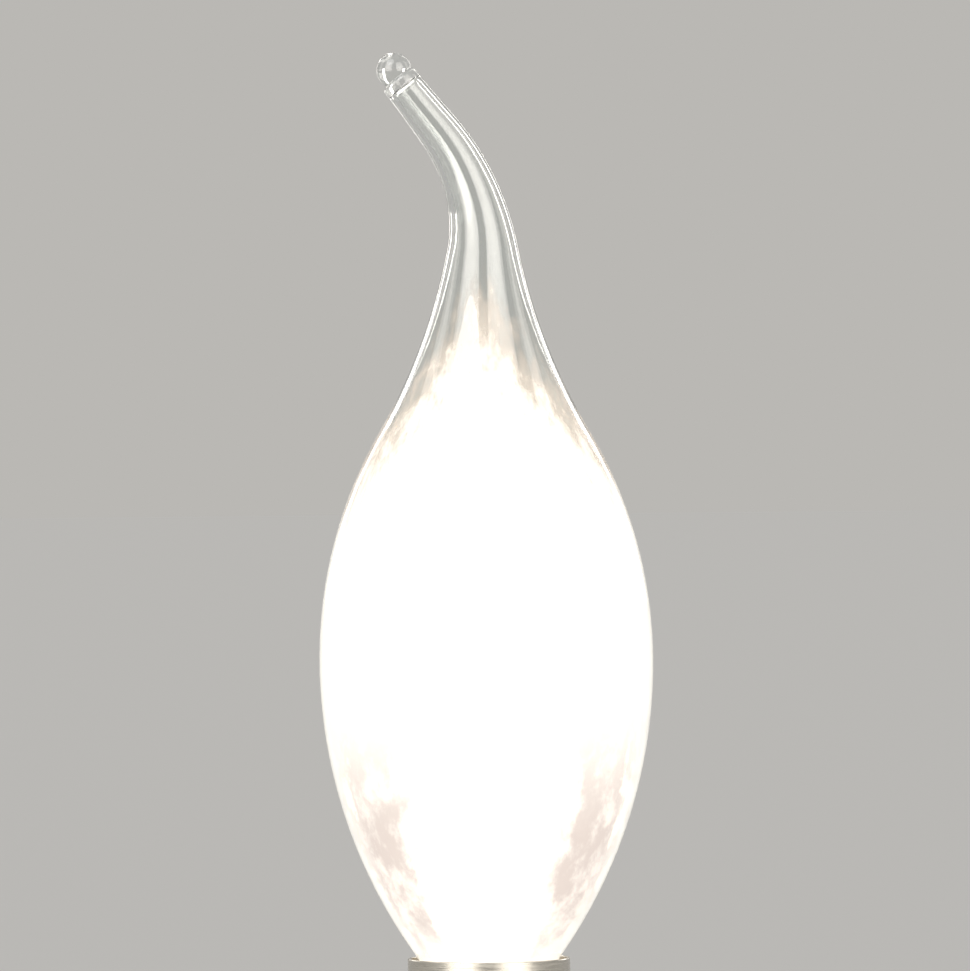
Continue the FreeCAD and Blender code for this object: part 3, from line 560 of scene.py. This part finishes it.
def make_satin_finish():
    """Satin silica layer, lit from inside: white hot in the body, with painted shade in dim
    patches at the left and right beside the neck, and a painted glow in warm wisps at its top
    for the core's light reflected up into the tip."""
    made, tree, shader = finish(
        "lit_satin_silica",
        Base_Color=paint("#8f8a84"),
        Roughness=0.6,
        IOR=1.3,
        Specular_IOR_Level=0.2,
        Emission_Strength=1.3,
    )
    place = add(tree, "ShaderNodeTexCoord", output="Object")
    height = add(tree, "ShaderNodeSeparateXYZ", {0: place}, "Z")
    # Patches are 2 to 6 mm across, wisps 2 mm by 10 mm, and the grain at the upper edge under 0.5 mm
    clouds = []
    for scale, detail in (((260, 260, 200), 6.0), ((480, 480, 75), 3.0), ((2600, 2600, 1500), 3.0)):
        spread = add(tree, "ShaderNodeMapping", {"Vector": place, "Scale": scale})
        sockets = {"Vector": spread, "Scale": 1.0, "Detail": detail, "Roughness": 0.65}
        clouds.append(add(tree, "ShaderNodeTexNoise", sockets))
    patches, glow_wisps, grain = clouds

    # Painted shade: the glow is dimmed in patches at the left and right of the neck
    # and the lower shoulder, so that a bright column stays in the middle
    across = add(tree, "ShaderNodeVectorMath", {0: place, 1: (1, 1, 0)}, operation="MULTIPLY")
    across = add(tree, "ShaderNodeVectorMath", {0: across}, operation="NORMALIZE")
    side = add(tree, "ShaderNodeSeparateXYZ", {0: across}, "X")
    side = add(tree, "ShaderNodeMath", {0: side}, operation="ABSOLUTE")
    sway = {0: patches, 1: PATCH_SWAY, 2: side}
    uneven = add(tree, "ShaderNodeMath", sway, operation="MULTIPLY_ADD")
    sway = {0: patches, 1: PATCH_REACH, 2: height}
    wander = add(tree, "ShaderNodeMath", sway, operation="MULTIPLY_ADD")
    painted_shade = add(tree, "ShaderNodeMapRange", {0: uneven, **SHADE_SIDES}, **SOFT)
    for value, limit in (
        (uneven, SHADE_EDGE),
        (wander, SHADE_TOP),
        (wander, SHADE_FOOT),
        (patches, SHADE_STREAKS),
    ):
        share = add(tree, "ShaderNodeMapRange", {0: value, **limit}, **SOFT)
        painted_shade = add(tree, "ShaderNodeMath", {0: painted_shade, 1: share}, operation="MULTIPLY")

    # Painted glow: warm wisps at the top stand in for the core's light reflected up into the tip.
    # They start lower at the sides, so the painted white runs up in a point in the middle
    sway = {0: glow_wisps, 1: GLOW_WISP_REACH, 2: height}
    glow_and_edge_height = add(tree, "ShaderNodeMath", sway, operation="MULTIPLY_ADD")
    apart = add(tree, "ShaderNodeMath", {0: side, 1: 2.0}, operation="POWER")
    sway = {0: apart, 1: GLOW_COLUMN_REACH, 2: glow_and_edge_height}
    glow_and_edge_height = add(tree, "ShaderNodeMath", sway, operation="MULTIPLY_ADD")
    top = add(tree, "ShaderNodeMapRange", {0: glow_and_edge_height, **GLOW_WISPS_START}, **SOFT)
    # The lamp's white, the dim tone of the painted shade, and the warm tone of the painted glow
    tones = {0: painted_shade, 6: paint("#f8f4ec"), 7: paint("#bfb1ab")}
    glow = add(tree, "ShaderNodeMix", tones, 2, data_type="RGBA")
    tones = {0: top, 6: glow, 7: paint("#b3a598")}
    glow = add(tree, "ShaderNodeMix", tones, 2, data_type="RGBA")
    tree.links.new(glow, shader.inputs["Emission Color"])
    sheer = add(tree, "ShaderNodeMath", {0: top, 1: 0.6}, operation="MULTIPLY")
    tree.links.new(sheer, shader.inputs["Transmission Weight"])

    # The layer ends in specks
    sway = {0: grain, 1: GRAIN_REACH, 2: glow_and_edge_height}
    speckle = add(tree, "ShaderNodeMath", sway, operation="MULTIPLY_ADD")
    cover = add(tree, "ShaderNodeMapRange", {0: speckle, **LAYER_END}, **SOFT)
    tree.links.new(cover, shader.inputs["Alpha"])
    return made


def make_plate():
    """Nickel-plated brass sheet, rolled: a soft warm mirror with fine scratches from the holder."""
    made, tree, shader = finish("rolled_nickel_plate", Metallic=1.0)
    place = add(tree, "ShaderNodeTexCoord", output="Object")
    # Clouds in the plating are about 3 mm across
    cloud = add(tree, "ShaderNodeTexNoise", {"Vector": place, "Scale": 320.0, "Detail": 4.0})
    tones = {0: cloud, 6: paint("#b9b4aa"), 7: paint("#d8d4cb")}
    tone = add(tree, "ShaderNodeMix", tones, 2, data_type="RGBA")
    tree.links.new(tone, shader.inputs["Base Color"])
    # Scratches run round the cap, about 0.1 mm apart
    spread = add(tree, "ShaderNodeMapping", {"Vector": place, "Scale": (300, 300, 9000)})
    lines = add(tree, "ShaderNodeTexNoise", {"Vector": spread, "Scale": 1.0, "Detail": 3.0})
    rough = add(tree, "ShaderNodeMapRange", {0: lines, **MOST, 3: 0.2, 4: 0.38})
    tree.links.new(rough, shader.inputs["Roughness"])
    bump = add(tree, "ShaderNodeBump", {"Height": lines, "Strength": 0.1, "Distance": 0.01 * MM})
    tree.links.new(bump, shader.inputs["Normal"])
    return made


def make_plain(name, low, high, scale, roughness, metallic=0.0, bump=0.1, **more):
    """A finish with a cloudy tone between two near colours, its gloss and relief as uneven."""
    made, tree, shader = finish(name, Metallic=metallic, **more)
    place = add(tree, "ShaderNodeTexCoord", output="Object")
    cloud = add(tree, "ShaderNodeTexNoise", {"Vector": place, "Scale": scale, "Detail": 4.0})
    tones = {0: cloud, 6: paint(low), 7: paint(high)}
    tone = add(tree, "ShaderNodeMix", tones, 2, data_type="RGBA")
    tree.links.new(tone, shader.inputs["Base Color"])
    gloss = {0: cloud, **MOST, 3: roughness - 0.05, 4: roughness + 0.07}
    tree.links.new(add(tree, "ShaderNodeMapRange", gloss, **SOFT), shader.inputs["Roughness"])
    relief = add(tree, "ShaderNodeBump", {"Height": cloud, "Strength": bump, "Distance": 0.05 * MM})
    tree.links.new(relief, shader.inputs["Normal"])
    return made


def dress_mount():
    """The finishes inside the glass: stem, leads and light strips. Their clouds are 1 to 3 mm across."""
    # Pressed and flamed lead glass: clear in the hand, here filled by the warm light of the strips
    glow = {"Emission_Color": paint("#ffe9c8"), "Emission_Strength": 0.4}
    stem = make_plain("flamed_lead_glass", "#f6f4ee", "#fffaf0", 400, 0.1, **glow)
    wear(stem, ["stem_flare", "exhaust_tube", "support_rod"])
    # Silicone with phosphor, dispensed over the chips: yellow when cold, warm and blinding when lit
    glow = {"Emission_Color": paint("#ffe9c4"), "Emission_Strength": 4.0}
    phosphor = make_plain(
        "dispensed_phosphor_silicone", "#f2b93c", "#ffd15c", 900, 0.6, bump=0.3, **glow
    )
    wear(phosphor, [f"filament_coat_{number}" for number in (1, 2, 3, 4)])
    # Cold-rolled steel, punched: grey and half bright
    strip = make_plain("cold_rolled_steel", "#a9a8a5", "#c4c2be", 700, 0.32, 1.0)
    wear(strip, [f"filament_strip_{number}" for number in (1, 2, 3, 4)])
    # Drawn nickel wire, annealed: a soft, slightly yellow grey
    nickel = make_plain("annealed_nickel_wire", "#a6a198", "#bdb8ae", 900, 0.3, 1.0)
    wear(nickel, ["inner_lead_left", "inner_lead_right", "lower_link_left", "lower_link_right"])
    wear(nickel, ["upper_link_long", "upper_link_cross"])
    # Copper-clad wire with its borate skin: brick red, as it shows through the press
    dumet = make_plain("borated_copper_clad_wire", "#9c4a2e", "#b8603e", 900, 0.35, 1.0)
    wear(dumet, ["seal_wire_left", "seal_wire_right"])


def dress_driver():
    """The finishes of the driver and its wires. Their clouds are 1 to 3 mm across."""
    # Tinned copper, drawn: pale, with the copper's pink where the tin is thin
    copper = make_plain("tinned_copper_wire", "#b98a68", "#cfa788", 900, 0.35, 1.0)
    wear(copper, ["outer_lead_left", "outer_lead_right", "hooked_wire", "contact_lead"])
    # Printed solder mask on glass-fibre board: an even, slightly yellow white
    wear(make_plain("printed_white_solder_mask", "#dcdcd4", "#ebebe4", 500, 0.45), ["driver_board"])
    # Moulded epoxy: near black and matt, from the grit of its filler
    epoxy = make_plain("moulded_epoxy", "#151516", "#1f1f21", 900, 0.55, bump=0.4)
    wear(epoxy, ["bridge_rectifier", "driver_chip"])
    # Heat-shrunk PET film: tight, smooth and blue-black
    wear(make_plain("heat_shrunk_film", "#15171c", "#1f2229", 300, 0.3), ["smoothing_capacitor"])
    # Dipped lacquer: thick, even and dull blue-green
    wear(make_plain("dipped_lacquer", "#6d989c", "#7fa9ac", 500, 0.35), ["fusible_resistor"])
    # Extruded silicone: milky and soft to the eye
    wear(make_plain("extruded_silicone", "#e4e2da", "#f0eee6", 500, 0.6), ["insulating_sleeve"])


def dress_cap():
    """The finishes of the cap besides its plated shell. Their clouds are 1 to 3 mm across."""
    # Phenolic cement baked in the cap: tan, chalky and grainy
    cement = make_plain("baked_phenolic_cement", "#b6a27f", "#c9b693", 900, 0.85, bump=0.8)
    wear(cement, ["basing_cement"])
    # Moulded thermoset: deep black with a wet gloss, as the black glass it took over from
    wear(make_plain("moulded_black_thermoset", "#0d0d0e", "#17171a", 400, 0.22), ["cap_insulator"])
    # Stamped brass with thin nickel: pale gold, with small dents from handling
    wear(make_plain("stamped_brass", "#bfb294", "#d2c7ab", 600, 0.3, 1.0, bump=0.2), ["centre_contact"])
    # Tin solder set from a drop: silver grey, and dull where it froze last
    solder = make_plain("frozen_tin_solder", "#a8a9a8", "#c2c2c0", 900, 0.36, 1.0, bump=0.3)
    wear(solder, ["solder_spot"])


# Stage, camera and light, all in metres

FLOOR_SIZE = 40.0
FLOOR_DROP = 0.0002
PANEL_AIM = Vector((0, 0, 0.09))


def make_floor():
    """Pale matt paper that runs on to the backdrop, a hair under the lamp's contact."""
    bpy.ops.mesh.primitive_plane_add(size=FLOOR_SIZE, location=(0, 0, -FLOOR_DROP))
    floor = bpy.context.object
    floor.name = "floor"
    paper = {"Base_Color": paint("#e3e1dd"), "Roughness": 0.95, "Specular_IOR_Level": 0.0}
    floor.data.materials.append(finish("pale_paper", **paper)[0])


def make_sky():
    """A plain sky, in the backdrop's grey where it is seen, also in gloss and through glass."""
    world = bpy.data.worlds.new("studio")
    bpy.context.scene.world = world
    world.use_nodes = True
    tree = world.node_tree
    seen = 0.0
    for kind in ("Is Camera Ray", "Is Glossy Ray", "Is Transmission Ray"):
        ray = add(tree, "ShaderNodeLightPath", output=kind)
        seen = add(tree, "ShaderNodeMath", {0: seen, 1: ray}, operation="MAXIMUM")
    tones = {0: seen, 6: paint("#8c8c8c"), 7: paint("#bab8b4")}
    shade = add(tree, "ShaderNodeMix", tones, 2, data_type="RGBA")
    tree.links.new(shade, tree.nodes["Background"].inputs["Color"])


def make_sun():
    """A wide soft light from the upper left, even over the whole floor."""
    light = bpy.data.lights.new("window", "SUN")
    light.energy = 1.5
    light.angle = math.radians(40)
    lamp = bpy.data.objects.new("window", light)
    bpy.context.scene.collection.objects.link(lamp)
    lamp.rotation_euler = (math.radians(38), 0, math.radians(-35))


def make_panel(name, place, width, height, power, spread):
    """A soft warm white panel that shows in gloss and glass only, brightest in its middle."""
    light = bpy.data.lights.new(name, "AREA")
    light.shape = "RECTANGLE"
    light.size, light.size_y = width, height
    light.energy = power
    light.color = (1.0, 0.96, 0.9)
    light.spread = math.radians(spread)
    lamp = bpy.data.objects.new(name, light)
    bpy.context.scene.collection.objects.link(lamp)
    lamp.location = place
    lamp.rotation_euler = (PANEL_AIM - lamp.location).to_track_quat("-Z", "Y").to_euler()
    lamp.visible_camera = False
    lamp.visible_diffuse = False


def make_camera():
    """Level with the middle of the photograph, 0.83 m in front, and rolled so that the lamp leans."""
    lens = bpy.data.cameras.new("camera")
    lens.lens = 293.8
    lens.sensor_width = 36.0
    camera = bpy.data.objects.new("camera", lens)
    bpy.context.scene.collection.objects.link(camera)
    camera.location = (0.00002, -0.83, 0.07447)
    camera.rotation_euler = (math.radians(90), math.radians(0.5), 0)
    bpy.context.scene.camera = camera


bpy.context.scene.view_settings.view_transform = "Standard"
make_camera()
make_floor()
make_sky()
make_sun()
for side, name in ((-1, "left"), (1, "right")):
    make_panel(f"{name}_card", (side * 0.5, -0.63, 0.3), width=0.72, height=1.2, power=4.4, spread=90)
    make_panel(f"{name}_softbox", (side * 0.75, 0.1, 0.42), width=0.25, height=0.7, power=1.0, spread=180)
    make_panel(f"{name}_strip", (side * 0.36, 0.74, 0.42), width=0.1, height=0.7, power=0.8, spread=180)

envelope = make_envelope()
satin = make_satin()
cap = make_cap()
solder = make_solder()
wire = make_hooked_wire()
for piece, slot in (
    (envelope, "envelope_glass"),
    (satin, "envelope_glass"),
    (cap, "cap_metal"),
    (solder, "solder"),
    (wire, "copper_wire"),
):
    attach(piece, "root")
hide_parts("glass_envelope")
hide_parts("glass_envelope")
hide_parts("cap_shell")
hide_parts("shell_solder")
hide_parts("shell_lead")

wear(make_glass(), ["envelope"])
wear(make_satin_finish(), ["satin_layer"])
wear(make_plate(), ["threaded_shell"])
dress_mount()
dress_driver()
dress_cap()
